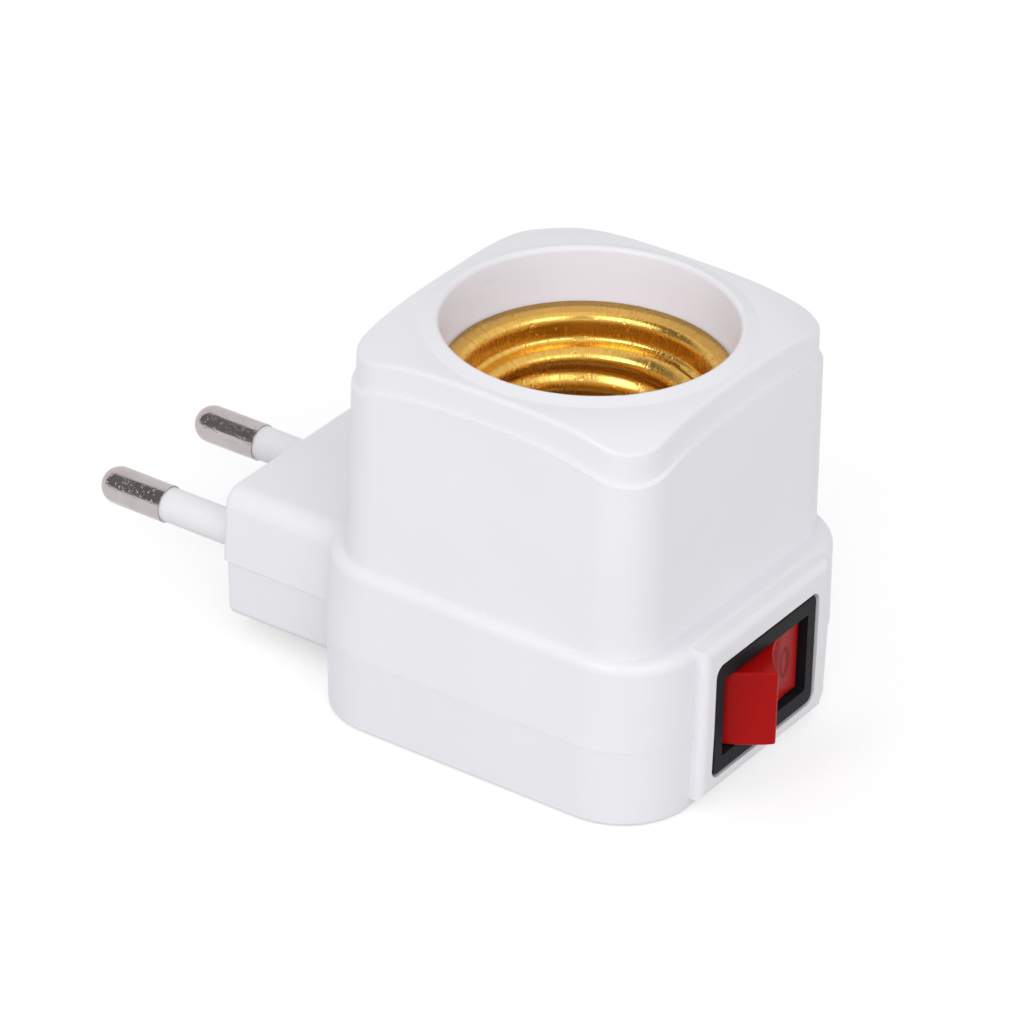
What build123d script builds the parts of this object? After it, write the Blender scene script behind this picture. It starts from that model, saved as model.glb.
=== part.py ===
from build123d import *
import os
from math import cos, radians, sin, sqrt, tan

# A plug-in lamp holder: a screw lamp socket on a base with two mains plug pins and a rocker switch.
# Millimetres. +Z is the socket axis, the pins point to -X, the switch is on the +X end.
# The origin is on the underside of the base, below the socket axis.

os.makedirs("parts", exist_ok=True)

# Screw shell: one rolled sheet with the lamp thread
shell_sheet = 0.4
thread_pitch = 3.63
thread_root_r = 13.3
thread_depth = 0.85
thread_half_waves = 9
first_crest_z = 39.0
step_round = 0.7
neck_out = 2.0
neck_round = 0.45
neck_gap = 0.3
flare_width = 1.35
flare_z = 43.8
flare_drop = 0.4
shell_foot = 4.3
shell_gap = 1.0

# Insulator under the shell, with an ear for a screw on each side
insulator_top = 23.0
insulator_thick = 4.0
insulator_boss_h = 2.2
insulator_boss_gap = 1.4
tube_wall = 1.6
ear_out = 1.3
ear_r = 1.9
ear_gap = 0.35
rib_half = 0.8

# Walls and drafts of the two mouldings that meet at the parting height
wall = 2.0
floor_wall = 2.0
parting = 10.3
parting_step = 0.15
upper_draft = 2.4
lower_draft = 1.6
front_draft_upper = 0.4
front_draft_lower = 1.0
lip_high = 1.2
lip_gap = 0.1

# Tower round the socket, with an inset cap band, a crowned top and a low lip round the mouth
tower_corner = 6.3
tower_draft = 0.6
crown_top = 51.4
crown_round = 15.7
lip_rise = 0.6
lip_slope = 1.6
cap_inset = 0.55
cap_band = 3.9
cap_edge_round = 0.6
top_wall = 2.4
mouth_gap = 0.58
mouth_rim_round = 0.6
flare_play = 0.15

# Base: a ledge round the foot of the tower, wider towards the plug and the switch
ledge_side = 1.55
ledge_rear = 3.8
ledge_front = 3.25
base_corner = 10.0
base_height = 22.0
shoulder_round = 1.5
foot_round = 0.4

# Plug block
block_length = 17.1
block_side = 5.2
block_bottom = 2.2
block_height = 19.9
block_step = 0.45
block_draft = 3.0
block_shoulder = 2.6
block_foot_round = 1.3
block_end_round = 0.8
block_wall = 1.1
block_nose = 4.5

# Plug pins
pin_pitch = 19.0
pin_above_parting = 1.0
pin_r = 2.4
pin_length = 21.95
pin_metal = 10.0
sleeve_r = 2.2
sleeve_core_r = 1.7
sleeve_socket = 3.0
pin_shank_r = 1.5
pin_neck_r = 1.1
neck_width = 2.0
neck_setback = 2.4
pin_tail_in = 5.35
sleeve_fit = 0.03
pin_seat_gap = 0.08
seat_past = 0.5

# Switch surround and the pocket for the switch
surround_proud = 1.45
surround_half = 13.3
surround_bottom = 1.4
surround_top = 21.8
surround_edge = 1.0
panel_thick = 1.8
bezel_recess = 0.15
bezel_gap = 0.3

# Rocker switch
switch_above_parting = 0.7
bezel_y = 21.6
bezel_h = 15.0
bezel_thick = 2.0
bezel_corner = 1.2
bezel_round = 0.3
case_y = 19.0
case_h = 12.8
case_corner = 0.5
case_depth = 13.6
case_floor = 2.2
panel_gap = 0.15
snap_catch = 0.6
snap_len = 3.5
snap_width = 6.0
well_y = 18.0
well_h = 10.6
well_corner = 0.3
chamber_y = 16.6
chamber_h = 8.6
chamber_depth = 4.2

# Rocker, in its own frame: x out of the switch from the pivot, y along the switch
pivot_setback = 4.6
rocker_tilt = 22.4
rocker_h = 10.0
lip_x = 6.7
lip_y = 6.6
dish_depth = 1.75
skirt_y = 8.15
skirt_x = -0.6
end_bulge = 0.35
lip_round = 0.4
rocker_edge_round = 0.3
stem_half = 2.2
stem_x = -3.6
rocker_skin = 2.3
rocker_wall = 1.2
stem_web = 0.6
trunnion_r = 1.3
trunnion_len = 0.9
trunnion_fit = 0.05
spring_bore_r = 1.3
spring_top = 2.3
plunger_tip = 6.4
plunger_head = 3.7
plunger_r = 1.2
plunger_stem_r = 0.6
spring_wire_r = 0.16
spring_turns = 5

# Contacts and blades
arm_tilt = 6.0
arm_rise = 18.0
arm_half = 6.9
arm_thick = 0.5
arm_width = 4.0
arm_above_floor = 1.5
contact_y = 5.5
contact_r = 1.1
contact_land = 0.3
moving_contact_block = 0.7
fixed_contact_height = 0.95
closed_gap = 0.1
blade_thick = 0.8
blade_width = 4.8
blade_length = 7.5
load_blade_y = 6.5
blade_hole_x = 2.4
blade_hole_r = 0.8
slot_fit = 0.05

# Rivets, tags and the centre contact
shell_rivet_x = 10.9
rivet_r = 1.1
rivet_head_r = 1.8
rivet_head = 0.7
tag_thick = 0.6
tag_width = 3.4
tag_end_r = 2.0
contact_leaf = 0.5
contact_leaf_width = 5.0
contact_leaf_gap = 0.2
contact_bend = 0.8
contact_height = 27.6
contact_fall = 1.6
rivet_fit = 0.03

# Screws
screw_inset = 5.55
screw_head_r = 2.75
screw_head_h = 2.0
screw_core_r = 1.2
screw_top = 18.6
screw_point = 1.5
screw_seat = 6.0
upper_boss_r = 3.6
upper_boss_top = 34.0
lower_boss_r = 4.3
counterbore_r = 3.1
socket_screw_r = 0.8
socket_screw_head_r = 1.7
socket_screw_head = 1.2
socket_screw_len = 10.0
screw_fit = 0.03
screw_pilot = 1.0
pass_gap = 0.3

# Leads
lead_r = 1.0
lead_bend = 3.0
live_turn = 5.65
centre_tag_x = -6.0
connector_h = 6.2
connector_sheet = 0.5
connector_gap = 0.6
connector_len = 7.2
barrel_r = 1.5
barrel_len = 3.6
barrel_neck = 0.3

# Places worked out from the sizes above
thread_crest_r = thread_root_r - thread_depth
neck_r = thread_root_r + neck_out
flare_r = neck_r + neck_round + flare_width
mouth_r = flare_r + mouth_gap
step_z = first_crest_z + thread_pitch / 4
neck_room_r = neck_r + shell_sheet + neck_gap
neck_room_z = step_z - shell_sheet - neck_gap
tube_in_r = thread_root_r + shell_sheet + shell_gap
insulator_r = tube_in_r + tube_wall
insulator_bottom = insulator_top - insulator_thick
shell_foot_r = thread_root_r - shell_foot
insulator_boss_r = shell_foot_r - insulator_boss_gap
ear_y = insulator_r + ear_out
tower_half = ear_y + ear_r + ear_gap + wall
crown_edge = crown_top - lip_rise
lip_r = mouth_r + mouth_rim_round
crown_flat = lip_r + lip_slope
base_half = tower_half + ledge_side
base_rear = tower_half + ledge_rear
base_front = tower_half + ledge_front
pin_y = pin_pitch / 2
pin_z = parting + pin_above_parting
block_half = pin_y + block_side
block_end = base_rear + block_length
pin_tip = block_end + pin_length
pin_tail = base_rear + pin_tail_in
screw_xy = tower_half - screw_inset
switch_z = parting + switch_above_parting
surround_face = base_front + surround_proud
bezel_face = surround_face - bezel_recess
bezel_back = bezel_face - bezel_thick
case_back = bezel_back - case_depth
chamber_floor = case_back + case_floor
pivot_x = bezel_face - pivot_setback
arm_pivot_x = chamber_floor + arm_above_floor
blade_end = case_back - blade_length
fixed_contact_x = chamber_floor + slot_fit + blade_thick
live_turn_x = live_turn - base_rear


def rounded_plate(rear, front, half, corner, z):
    """A rounded rectangle at height z, from -rear to front in X and half each way in Y."""
    return Pos((front - rear) / 2, 0, z) * RectangleRounded(rear + front, 2 * half, corner)


def upper_base_outline(z, inset=0.0):
    rise = z - parting
    side = inset + rise * tan(radians(upper_draft))
    front = inset + rise * tan(radians(front_draft_upper))
    return rounded_plate(base_rear - side, base_front - front, base_half - side, base_corner - side, z)


def lower_base_outline(z, inset=0.0):
    drop = parting - z
    side = parting_step + inset + drop * tan(radians(lower_draft))
    front = parting_step + inset + drop * tan(radians(front_draft_lower))
    return rounded_plate(base_rear - side, base_front - front, base_half - side, base_corner - side, z)


def tower_outline(z, inset=0.0):
    side = inset + (z - base_height) * tan(radians(tower_draft))
    return rounded_plate(tower_half - side, tower_half - side, tower_half - side, tower_corner - side, z)


def crown(top):
    """Everything below the crowned top surface: flat round the mouth, then falling in an arc."""
    reach = crown_flat + 0.75 * crown_round
    edge = top - crown_round + sqrt(crown_round**2 - (reach - crown_flat) ** 2)
    middle = crown_flat + crown_round * sin(radians(24))
    middle_z = top - crown_round * (1 - cos(radians(24)))
    profile = Polyline((crown_flat, top), (0, top), (0, 0), (reach, 0), (reach, edge))
    profile += ThreePointArc((reach, edge), (middle, middle_z), (crown_flat, top))
    return revolve(Plane.XZ * make_face(profile), Axis.Z)


def along_x(section, x0, x1):
    """A Y-Z section carried along X from x0 to x1."""
    return extrude(Plane.YZ.offset(x0) * section, x1 - x0)


def window(width, height, corner, x0, x1):
    """A rounded window on the switch axis, from x0 to x1."""
    return along_x(Pos(0, switch_z) * RectangleRounded(width, height, corner), x0, x1)


def solid_box(x0, x1, y0, y1, z0, z1):
    return Pos((x0 + x1) / 2, (y0 + y1) / 2, (z0 + z1) / 2) * Box(x1 - x0, y1 - y0, z1 - z0)


def post(x, y, z0, z1, radius):
    return Pos(x, y, (z0 + z1) / 2) * Cylinder(radius, z1 - z0)


def rod_x(x0, x1, y, z, radius):
    """A round bar along X."""
    return Pos((x0 + x1) / 2, y, z) * Rot(0, 90, 0) * Cylinder(radius, x1 - x0)


def turned_z(points):
    """A piece of revolution about Z, from its (radius, z) outline."""
    return revolve(Plane.XZ * make_face(Polyline(*points, close=True)), Axis.Z)


def one_solid(shape):
    """The single solid of a union, with its seams merged."""
    return shape.clean().solid()


# Housing mouldings


def block_section(z0, z1, half, corner_round):
    """Section of one half of the plug block, from the parting at z0 to its outer face at z1."""
    narrow = half - abs(z1 - z0) * tan(radians(block_draft))
    face = make_face(Polyline((-half, z0), (half, z0), (narrow, z1), (-narrow, z1), close=True))
    return fillet(face.vertices().group_by(Axis.Y)[-1 if z1 > z0 else 0], corner_round)


def plug_block(z1, half, corner_round, end):
    body = along_x(block_section(parting, z1, half, corner_round), -end, wall - base_rear)
    rim = body.faces().sort_by(Axis.X)[0].edges()
    return fillet(rim.filter_by(lambda e: abs(e.center().Z - parting) > 0.1), block_end_round)


def block_hollow(z1, half, corner_round):
    """The room inside one half of the plug block, open towards the base."""
    section = block_section(parting, z1, half - block_wall, corner_round)
    return along_x(section, block_nose - block_end, 1.5 * wall - base_rear)


def pin_seats(radius, x0, x1, open_down):
    """The two round seats for the pins, as cutters. Upper ones are open down to the parting."""
    seats = Part()
    for side in (-1, 1):
        seats += rod_x(x0, x1, side * pin_y, pin_z, radius)
        if open_down:
            seats += solid_box(x0, x1, side * pin_y - radius, side * pin_y + radius, parting - 1, pin_z)
    return seats


def all_pin_seats(open_down):
    shank_from = sleeve_socket - block_end
    shank_to = block_nose - block_end + seat_past
    seats = pin_seats(sleeve_r + pin_seat_gap, -block_end - 1, shank_from, open_down)
    seats += pin_seats(pin_shank_r + pin_seat_gap, shank_from - 0.01, shank_to, open_down)
    return seats


def saddle(z0, z1):
    """The cross rib that grips the necks of both pins."""
    rib_front = block_nose + neck_setback + neck_width - block_end
    rib = solid_box(rib_front - neck_width, rib_front, -block_half, block_half, z0, z1)
    return rib - pin_seats(pin_neck_r + pin_seat_gap, -block_end, 0, z1 > pin_z)


def surround(z0, z1, lean):
    """The raised plate round the switch window, with its front edges rounded."""
    back = base_front - 3 * wall
    front0 = surround_face - abs(z0 - parting) * tan(radians(lean))
    front1 = surround_face - abs(z1 - parting) * tan(radians(lean))
    side = make_face(Polyline((back, z0), (front0, z0), (front1, z1), (back, z1), close=True))
    plate = extrude(Plane.XZ * side, surround_half, both=True)
    front = plate.faces().sort_by(Axis.X)[-1].edges()
    return fillet(front.filter_by(lambda e: abs(e.center().Z - parting) > 0.1), surround_edge)


def switch_window():
    """The pocket that the bezel sits in, and the hole in the panel behind it."""
    pocket = window(bezel_y + 2 * bezel_gap, bezel_h + 2 * bezel_gap, bezel_corner + bezel_gap,
                    bezel_back, surround_face + 1)
    hole = window(case_y + 2 * panel_gap, case_h + 2 * panel_gap, case_corner, case_back, bezel_back + 1)
    return pocket + hole


def switch_panel(z0, z1):
    """The thick stretch of end wall that the switch is fitted to."""
    half = surround_half - panel_gap
    return solid_box(bezel_back - panel_thick, base_front - wall / 2, -half, half, z0, z1)


def corners(reach):
    return [(sx * reach, sy * reach) for sx in (-1, 1) for sy in (-1, 1)]


def upper_housing():
    shoulder = loft([upper_base_outline(parting), upper_base_outline(base_height)], ruled=True)
    shoulder = fillet(shoulder.faces().sort_by(Axis.Z)[-1].edges(), shoulder_round)
    reach_z = crown_top + 1
    skin = loft([tower_outline(base_height - wall), tower_outline(reach_z)], ruled=True)
    skin &= crown(crown_edge - cap_band)
    cap = loft([tower_outline(base_height, cap_inset), tower_outline(reach_z, cap_inset)], ruled=True)
    cap &= crown(crown_edge)
    cap = fillet(cap_rim(cap), cap_edge_round)
    outer = shoulder + skin + cap + mouth_lip()
    outer += plug_block(block_height, block_half, block_shoulder, block_end)
    outer += surround(parting, surround_top, 0)

    ceiling = base_height - wall
    room = loft([upper_base_outline(parting, wall), upper_base_outline(ceiling, wall)], ruled=True)
    shaft = loft([tower_outline(parting, wall), tower_outline(reach_z, wall)], ruled=True)
    room += shaft & crown(crown_edge - top_wall)
    room += block_hollow(block_height - block_wall, block_half, block_shoulder - block_wall)
    body = outer - room

    body += switch_panel(parting, base_height - wall) & outer
    body += socket_tube()
    for x, y in corners(screw_xy):
        body += post(x, y, parting, upper_boss_top, upper_boss_r) & outer
    for side in (-1, 1):
        body += ear_boss(side)
    body += saddle(parting, block_height - block_wall / 2) & outer

    body -= ledge_room()
    body -= switch_window()
    body -= all_pin_seats(True)
    for x, y in corners(screw_xy):
        body -= post(x, y, parting - 1, screw_top + screw_pilot, screw_core_r + screw_fit)
    for side in (-1, 1):
        body -= post(0, side * ear_y, insulator_top - 1, insulator_top + socket_screw_len + screw_pilot,
                     socket_screw_r + screw_fit)
    return one_solid(body)


def flare_underside(radius):
    """Height of the underside of the shell's sloping flare at this radius."""
    slope = flare_drop / (flare_r - neck_r - neck_round)
    return flare_z - shell_sheet * sqrt(1 + slope**2) - (flare_r - radius) * slope


def cap_rim(cap):
    """The edges between the crowned top of the cap and its sides."""
    top = cap.faces().filter_by(lambda f: f.normal_at().Z > 0.5)
    sides = cap.faces().filter_by(lambda f: abs(f.normal_at().Z) < 0.3)
    return [e for e in top.edges() if any(e in side.edges() for side in sides)]


def mouth_lip():
    """The low lip that slopes up from the flat of the crown to the rim of the mouth."""
    foot = crown_edge - top_wall
    outline = [(0, foot), (crown_flat, foot), (crown_flat, crown_edge), (lip_r, crown_top), (0, crown_top)]
    return turned_z(outline)


def socket_tube():
    """The sleeve that the screw shell hangs in, carried by the crowned top and four ribs."""
    ledge = flare_underside(neck_room_r)
    top = crown_top - top_wall / 2
    sleeve = turned_z([
        (0, insulator_top), (tube_in_r + tube_wall, insulator_top),
        (tube_in_r + tube_wall, neck_room_z - 1.5 * tube_wall),
        (neck_room_r + tube_wall, neck_room_z - tube_wall / 2),
        (neck_room_r + tube_wall, ledge - 2 * tube_wall), (mouth_r + tube_wall, ledge - tube_wall),
        (mouth_r + tube_wall, top), (0, top),
    ])
    reach = screw_xy * sqrt(2) - upper_boss_r + 1
    for turn in (45, 135, 225, 315):
        rib = solid_box(tube_in_r, reach, -rib_half, rib_half, insulator_top + 2, upper_boss_top - 1)
        sleeve += Rot(0, 0, turn) * rib
    return sleeve


def ear_boss(side):
    """A boss for a socket screw, tied to the sleeve and to the tower wall."""
    top = insulator_top + socket_screw_len + 2
    y0, y1 = sorted((side * (tube_in_r + tube_wall / 2), side * (tower_half - wall / 2)))
    web = solid_box(-rib_half, rib_half, y0, y1, insulator_top, top)
    return post(0, side * ear_y, insulator_top, top, ear_r) + web


def ledge_room():
    """The bore of the sleeve, the ledge that the flare rests on, and the rounded mouth above it."""
    flare_room = flare_r + flare_play
    step = flare_z + flare_play
    outline = Polyline((mouth_r, crown_top - mouth_rim_round), (mouth_r, step), (flare_room, step),
                       (flare_room, flare_underside(flare_room)),
                       (neck_room_r, flare_underside(neck_room_r)), (neck_room_r, neck_room_z),
                       (tube_in_r, neck_room_z), (tube_in_r, insulator_top - 1), (0, insulator_top - 1),
                       (0, crown_top + 1), (lip_r, crown_top + 1), (lip_r, crown_top))
    slant = mouth_rim_round * sin(radians(45))
    low_rim = crown_top - mouth_rim_round
    outline += ThreePointArc((lip_r, crown_top), (lip_r - slant, low_rim + slant), (mouth_r, low_rim))
    return revolve(Plane.XZ * make_face(outline), Axis.Z)


def lower_housing():
    shell = loft([lower_base_outline(parting), lower_base_outline(0)], ruled=True)
    shell = fillet(shell.faces().sort_by(Axis.Z)[0].edges(), foot_round)
    block_low_half = block_half - block_step
    outer = shell + plug_block(block_bottom, block_low_half, block_foot_round, block_end - block_step / 2)
    outer += surround(surround_bottom, parting, front_draft_lower)

    room = loft([lower_base_outline(parting + 0.01, wall), lower_base_outline(floor_wall, wall)], ruled=True)
    room += block_hollow(block_bottom + block_wall, block_low_half, block_foot_round / 2)
    body = outer - room

    body += switch_panel(floor_wall / 2, parting) & outer
    body += saddle(block_bottom + block_wall / 2, parting) & outer
    for x, y in corners(screw_xy):
        body += post(x, y, floor_wall / 2, parting, lower_boss_r)
    for side in (-1, 1):
        body += side_lip(side)

    body -= switch_window()
    body -= all_pin_seats(False)
    for x, y in corners(screw_xy):
        body -= post(x, y, -1, screw_seat, counterbore_r)
        body -= post(x, y, 0, parting + 1, screw_core_r + pass_gap)
    return one_solid(body)


def side_lip(side):
    """A locating lip inside each long wall, standing up past the parting."""
    outside = base_half - parting_step - wall - lip_gap
    inside = outside - lip_high
    length = screw_xy - lower_boss_r - 1
    y0, y1 = sorted((side * outside, side * inside))
    foot_y0, foot_y1 = sorted((side * (outside + wall / 3), side * inside))
    lip = solid_box(-length, length, y0, y1, parting - 1, parting + lip_high)
    return lip + solid_box(-length, length, foot_y0, foot_y1, parting / 2, parting - bezel_gap)


# Lamp socket


def shell_line():
    """The inner surface of the rolled sheet, from the flare down to the foot, as (radius, z)."""
    half_wave = thread_pitch / 2
    middle_r = (thread_crest_r + thread_root_r) / 2
    swing = (thread_root_r - thread_crest_r) / 2
    z = step_z
    neck_top = flare_z - flare_drop
    neck_foot = z + step_round
    line = Line((flare_r, flare_z), (neck_r + neck_round, neck_top))
    turned_in = neck_round * (1 - sin(radians(45)))
    line += ThreePointArc((neck_r + neck_round, neck_top), (neck_r + turned_in, neck_top - turned_in),
                          (neck_r, neck_top - neck_round))
    line += Line((neck_r, neck_top - neck_round), (neck_r, neck_foot))
    turned_in = step_round * (1 - sin(radians(45)))
    line += ThreePointArc((neck_r, neck_foot), (neck_r - turned_in, z + turned_in), (neck_r - step_round, z))
    line += Line((neck_r - step_round, z), (middle_r, z))
    for wave in range(thread_half_waves):
        to = -swing if wave % 2 == 0 else swing
        line += ThreePointArc((middle_r, z), (middle_r + to, z - half_wave / 2), (middle_r, z - half_wave))
        z -= half_wave
    foot_z = insulator_top + shell_sheet
    line += Line((middle_r, z), (middle_r, foot_z))
    line += Line((middle_r, foot_z), (shell_foot_r, foot_z))
    return line


def screw_shell():
    """Brass sheet spun into a flare, a neck, the rolled thread and an inward foot."""
    sheet = offset(shell_line(), amount=shell_sheet, side=Side.LEFT)
    body = revolve(Plane.XZ * make_face(sheet), Axis.Z)
    for side in (-1, 1):
        body -= post(side * shell_rivet_x, 0, insulator_top - 1, insulator_top + 1, rivet_r + rivet_fit)
    return body.solid()


def socket_insulator():
    body = post(0, 0, insulator_bottom, insulator_top, insulator_r)
    for side in (-1, 1):
        ear = post(0, side * ear_y, insulator_bottom, insulator_top, ear_r)
        y0, y1 = sorted((side * insulator_r / 2, side * ear_y))
        body += ear + solid_box(-ear_r, ear_r, y0, y1, insulator_bottom, insulator_top)
    body += post(0, 0, insulator_top, insulator_top + insulator_boss_h, insulator_boss_r)
    leaf_room = contact_leaf_width / 2 + contact_leaf_gap
    boss_r = insulator_boss_r
    body -= solid_box(-boss_r, boss_r, -leaf_room, leaf_room, insulator_top, contact_height)
    for side in (-1, 1):
        body -= post(0, side * ear_y, 0, crown_top, socket_screw_r + pass_gap)
        body -= post(side * shell_rivet_x, 0, 0, crown_top, rivet_r + rivet_fit)
    body -= post(0, 0, 0, crown_top, rivet_r + rivet_fit)
    return one_solid(body)


def rivet(x, y, z0, z1):
    """A rivet through everything between z0 and z1, with a domed head on each end."""
    dome = rivet_head_r * 0.6
    return Pos(x, y, 0) * turned_z([
        (0, z0 - rivet_head), (dome, z0 - rivet_head), (rivet_head_r, z0), (rivet_r, z0),
        (rivet_r, z1), (rivet_head_r, z1), (dome, z1 + rivet_head), (0, z1 + rivet_head),
    ])


def tag(x0, y0, x1, y1):
    """A flat solder tag under the insulator, from a rivet at x0, y0 to a lead at x1, y1."""
    z0 = insulator_bottom - tag_thick
    run = sqrt((x1 - x0) ** 2 + (y1 - y0) ** 2)
    strip = Pos(run / 2, 0, 0) * Rectangle(run, tag_width)
    strip += Circle(tag_end_r)
    strip += Pos(run, 0, 0) * Circle(tag_end_r)
    strip -= Circle(rivet_r + rivet_fit)
    turn = Vector(x1 - x0, y1 - y0, 0).get_signed_angle(Vector(1, 0, 0), Vector(0, 0, -1))
    return extrude(Pos(x0, y0, z0) * Rot(0, 0, turn) * strip, tag_thick)


def centre_contact():
    """A sprung leaf: flat under the rivet, then folded back up and over to the lamp's contact."""
    low = insulator_top + contact_leaf / 2
    top = contact_height - contact_leaf / 2
    reach = insulator_boss_r - contact_leaf_width / 4
    path = FilletPolyline(
        (-0.6 * reach, low), (reach, low), (0.8 * reach, (low + top) / 2), (-0.4 * reach, top),
        (-reach, top - contact_fall), radius=contact_bend,
    )
    strip = make_face(offset(path, amount=contact_leaf / 2))
    leaf = extrude(Plane.XZ * strip, contact_leaf_width / 2, both=True)
    leaf -= post(0, 0, insulator_top - 1, (low + top) / 2, rivet_r + rivet_fit)
    return leaf.solid()


def socket_screws():
    """The two screws that hold the insulator up against the sleeve."""
    head = insulator_bottom - socket_screw_head
    screw = turned_z([
        (0, head), (socket_screw_head_r * 0.8, head), (socket_screw_head_r, head + socket_screw_head / 3),
        (socket_screw_head_r, insulator_bottom), (socket_screw_r, insulator_bottom),
        (socket_screw_r, insulator_top + socket_screw_len - 1), (0, insulator_top + socket_screw_len),
    ])
    screw -= cross_recess(head, socket_screw_head_r * 0.7, socket_screw_head * 0.6)
    return [Pos(0, side * ear_y, 0) * screw for side in (-1, 1)]


def cross_recess(z, reach, depth):
    """A cross-shaped recess cut upwards into a screw head whose face is at z."""
    bar = solid_box(-reach, reach, -reach / 5, reach / 5, z - 1, z + depth)
    return bar + Rot(0, 0, 90) * bar


def housing_screws():
    """The four screws that close the housing, driven from below."""
    head = screw_seat - screw_head_h
    screw = turned_z([
        (0, head), (screw_head_r * 0.8, head), (screw_head_r, head + screw_head_h / 3),
        (screw_head_r, screw_seat), (screw_core_r, screw_seat),
        (screw_core_r, screw_top - screw_point), (0, screw_top),
    ])
    screw -= cross_recess(head, screw_head_r * 0.7, screw_head_h * 0.6)
    return [Pos(x, y, 0) * screw for x, y in corners(screw_xy)]


# Plug pins and their sleeves


def turned_x(profile):
    """A piece of revolution about X, from its closed (x, radius) outline."""
    return revolve(make_face(profile), Axis.X)


def pin(side):
    """A pin with a round tip, a thinner core for the sleeve, a gripped neck and a solder tail."""
    tip_centre = pin_r - pin_tip
    sleeve_start = pin_metal - pin_tip
    seat = sleeve_socket - block_end
    neck_from = block_nose + neck_setback - block_end - sleeve_fit
    neck_to = neck_from + neck_width + 2 * sleeve_fit
    slant = pin_r * sin(radians(45))
    outline = ThreePointArc((-pin_tip, 0), (tip_centre - slant, slant), (tip_centre, pin_r))
    outline += Polyline(
        (tip_centre, pin_r), (sleeve_start, pin_r), (sleeve_start, sleeve_core_r), (seat, sleeve_core_r),
        (seat, pin_shank_r), (neck_from, pin_shank_r), (neck_from, pin_neck_r), (neck_to, pin_neck_r),
        (neck_to, pin_shank_r), (-pin_tail, pin_shank_r), (-pin_tail, 0), (-pin_tip, 0),
    )
    return Pos(0, side * pin_y, pin_z) * turned_x(outline)


def pin_sleeve(side):
    x0 = pin_metal - pin_tip
    x1 = sleeve_socket - block_end
    bore = sleeve_core_r + sleeve_fit
    outline = Polyline((x0, bore), (x1, bore), (x1, sleeve_r), (x0, sleeve_r), close=True)
    return Pos(0, side * pin_y, pin_z) * turned_x(outline)


# Rocker switch


def at_pivot(x, turn):
    """The frame of a moving switch piece: its pivot at x on the switch axis, turned about Z."""
    return Pos(x, 0, switch_z) * Rot(0, 0, turn)


def switch_case():
    """Bezel and body in one moulding, with the rocker's well and a chamber for the contacts."""
    plate = window(bezel_y, bezel_h, bezel_corner, bezel_back, bezel_face)
    plate = fillet(plate.faces().sort_by(Axis.X)[-1].edges(), bezel_round)
    body = plate + window(case_y, case_h, case_corner, case_back, bezel_back)
    for side in (-1, 1):
        body += snap_wedge(side)
    chamber_top = chamber_floor + chamber_depth
    body -= window(well_y, well_h, well_corner, chamber_top, bezel_face + 1)
    body -= window(chamber_y, chamber_h, well_corner, chamber_floor, chamber_top + 0.01)
    body -= Pos(pivot_x, 0, switch_z) * Cylinder(trunnion_r + trunnion_fit, case_h + 1)
    for y in (0, load_blade_y):
        body -= blade_bar(y, case_back - 1, chamber_floor + 0.01, slot_fit)
    return one_solid(body)


def snap_wedge(side):
    """A wedge behind the panel that keeps the switch in its hole."""
    tip = bezel_back - panel_thick - panel_gap
    foot = tip - snap_len
    y0 = side * (case_y / 2 - snap_catch)
    y1 = side * (case_y / 2 + panel_gap + snap_catch)
    wedge = make_face(Polyline((tip, y0), (tip, y1), (foot, side * case_y / 2), (foot, y0), close=True))
    return extrude(Pos(0, 0, switch_z - snap_width / 2) * wedge, snap_width)


def blade_bar(y, x0, x1, grow=0.0):
    half_y = blade_thick / 2 + grow
    half_z = blade_width / 2 + grow
    return solid_box(x0, x1, y - half_y, y + half_y, switch_z - half_z, switch_z + half_z)


def blade_hole(y):
    """The detent hole near the end of a blade, as a cutter."""
    drill = Rot(90, 0, 0) * Cylinder(blade_hole_r, 2 * blade_thick)
    return Pos(blade_end + blade_hole_x, y, switch_z) * drill


def common_terminal():
    """A blade whose inner end is the fulcrum of the contact arm, with an ear on each side of it."""
    fulcrum = arm_pivot_x - arm_thick / 2 - slot_fit
    body = blade_bar(0, blade_end, fulcrum)
    ear_top = arm_pivot_x + arm_thick
    for side in (-1, 1):
        inner = switch_z + side * (arm_width / 2 + 2 * slot_fit)
        z0, z1 = sorted((inner, switch_z + side * blade_width / 2))
        body += solid_box(chamber_floor, ear_top, -blade_thick / 2, blade_thick / 2, z0, z1)
    body -= blade_hole(0)
    return one_solid(chamfer(body.faces().sort_by(Axis.X)[0].edges(), blade_thick / 4))


def load_terminal():
    """A blade with a foot bent over the chamber floor, under the fixed contact."""
    foot_x0 = chamber_floor + slot_fit
    foot_y0 = contact_y - contact_r - contact_land
    body = blade_bar(load_blade_y, blade_end, foot_x0 + blade_thick)
    body += solid_box(foot_x0, foot_x0 + blade_thick, foot_y0, load_blade_y, switch_z - blade_width / 2,
                      switch_z + blade_width / 2)
    body -= blade_hole(load_blade_y)
    return one_solid(chamfer(body.faces().sort_by(Axis.X)[0].edges(), blade_thick / 4))


def arm_strip(turn):
    """The contact arm: a strip bent to a shallow V over its fulcrum."""
    rise = radians(arm_rise)
    x, y = arm_half * sin(rise), arm_half * cos(rise)
    thick = arm_thick / cos(rise)
    bend = Polyline((x, -y), (0, 0), (x, y), (x + thick, y), (thick, 0), (x + thick, -y), close=True)
    body = extrude(Pos(-thick / 2, 0, 0) * make_face(bend), arm_width / 2, both=True)
    return at_pivot(arm_pivot_x, turn) * body


def contact_arm():
    return arm_strip(-arm_tilt)


def fixed_contact():
    """A rivet head on the foot of the load terminal."""
    return rod_x(fixed_contact_x, fixed_contact_x + fixed_contact_height, contact_y, switch_z, contact_r)


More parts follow.
